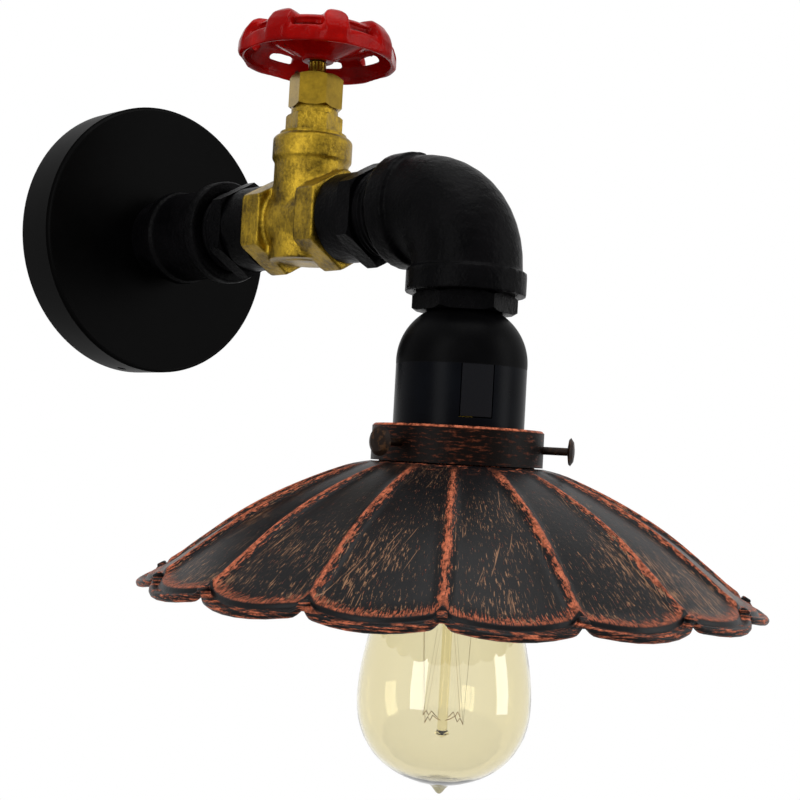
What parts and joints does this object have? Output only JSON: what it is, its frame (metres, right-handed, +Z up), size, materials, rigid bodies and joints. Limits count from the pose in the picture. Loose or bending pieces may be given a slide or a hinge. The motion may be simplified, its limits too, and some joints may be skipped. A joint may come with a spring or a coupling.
{
  "type": "pipe wall light",
  "caption": "Wall light made of black pipe fittings and a brass valve with a red handwheel, with a scalloped metal shade over a filament bulb hanging from an elbow.",
  "frame": {"origin": "centre of the wall bracket's fixing pattern, on the wall plane behind the round plate", "axes": "+Y into the wall, -Y along the arm to the lamp, +Z up, +X to the right when facing the wall"},
  "size_m": [0.2188, 0.3124, 0.2918],
  "materials": {
    "black_plate": "matte black powder coat",
    "zinc_steel": "zinc plated",
    "brass_screw": "plain brass",
    "white_plastic": "moulded",
    "black_iron": "black painted malleable iron, soft sheen",
    "cast_brass": "rough cast, satin",
    "turned_brass": "turned, semi bright",
    "packing": "fibre ring",
    "black_plastic": "satin black",
    "holder_core": "ceramic look",
    "rubbed_copper": "black paint rubbed through to copper on the edges",
    "brown_lead": "plain",
    "blue_lead": "plain",
    "earth_lead": "plain",
    "red_enamel": "glossy red enamel",
    "amber_glass": "pale amber, clear",
    "clear_glass": "clear",
    "filament": "thin wire"
  },
  "bodies": {
    "fixture": {"wall_plate": "black_plate", "wall_bracket": "zinc_steel", "side_screws": "zinc_steel", "earth_screw": "brass_screw", "terminal_block": "white_plastic", "wall_nipple": "black_iron", "back_nut": "zinc_steel", "wall_socket": "black_iron", "rear_nipple": "black_iron", "front_nipple": "black_iron", "valve_body": "cast_brass", "valve_bonnet": "cast_brass", "gland_nut": "turned_brass", "gland_packing": "packing", "elbow": "black_iron", "lamp_plug": "black_iron", "entry_nipple": "zinc_steel", "holder_dome": "black_plastic", "holder_skirt": "black_plastic", "screw_shell": "turned_brass", "holder_core": "holder_core", "centre_contact": "turned_brass", "shade_gallery": "rubbed_copper", "shade_ring_nut": "black_plastic", "shade": "rubbed_copper", "live_lead": "brown_lead", "neutral_lead": "blue_lead", "earth_lead": "earth_lead"},
    "handwheel_set": {"valve_spindle": "turned_brass", "handwheel": "red_enamel", "wheel_nut": "zinc_steel"},
    "bulb": {"bulb_glass": "amber_glass", "bulb_cap": "turned_brass", "bulb_stem": "clear_glass", "bulb_filament": "filament"},
    "clamp_screw_1": {"thumbscrew_1": "rubbed_copper"},
    "clamp_screw_2": {"thumbscrew_2": "rubbed_copper"},
    "clamp_screw_3": {"thumbscrew_3": "rubbed_copper"}
  },
  "joints": [
    {"name": "handwheel_turn", "type": "hinge", "parent": "fixture", "child": "handwheel_set", "pos_m": [0, -0.117, 0.07], "axis": [0, 0, 1], "continuous": true},
    {"name": "bulb_release", "type": "slide", "parent": "fixture", "child": "bulb", "axis": [0, 0, -1], "range_m": [0, 0.026]},
    {"name": "thumbscrew_1_release", "type": "slide", "parent": "fixture", "child": "clamp_screw_1", "axis": [-0.9998, -0.0175, 0], "range_m": [0, 0.003]},
    {"name": "thumbscrew_2_release", "type": "slide", "parent": "fixture", "child": "clamp_screw_2", "axis": [0.515, -0.8572, 0], "range_m": [0, 0.003]},
    {"name": "thumbscrew_3_release", "type": "slide", "parent": "fixture", "child": "clamp_screw_3", "axis": [0.4848, 0.8746, 0], "range_m": [0, 0.003]}
  ]
}
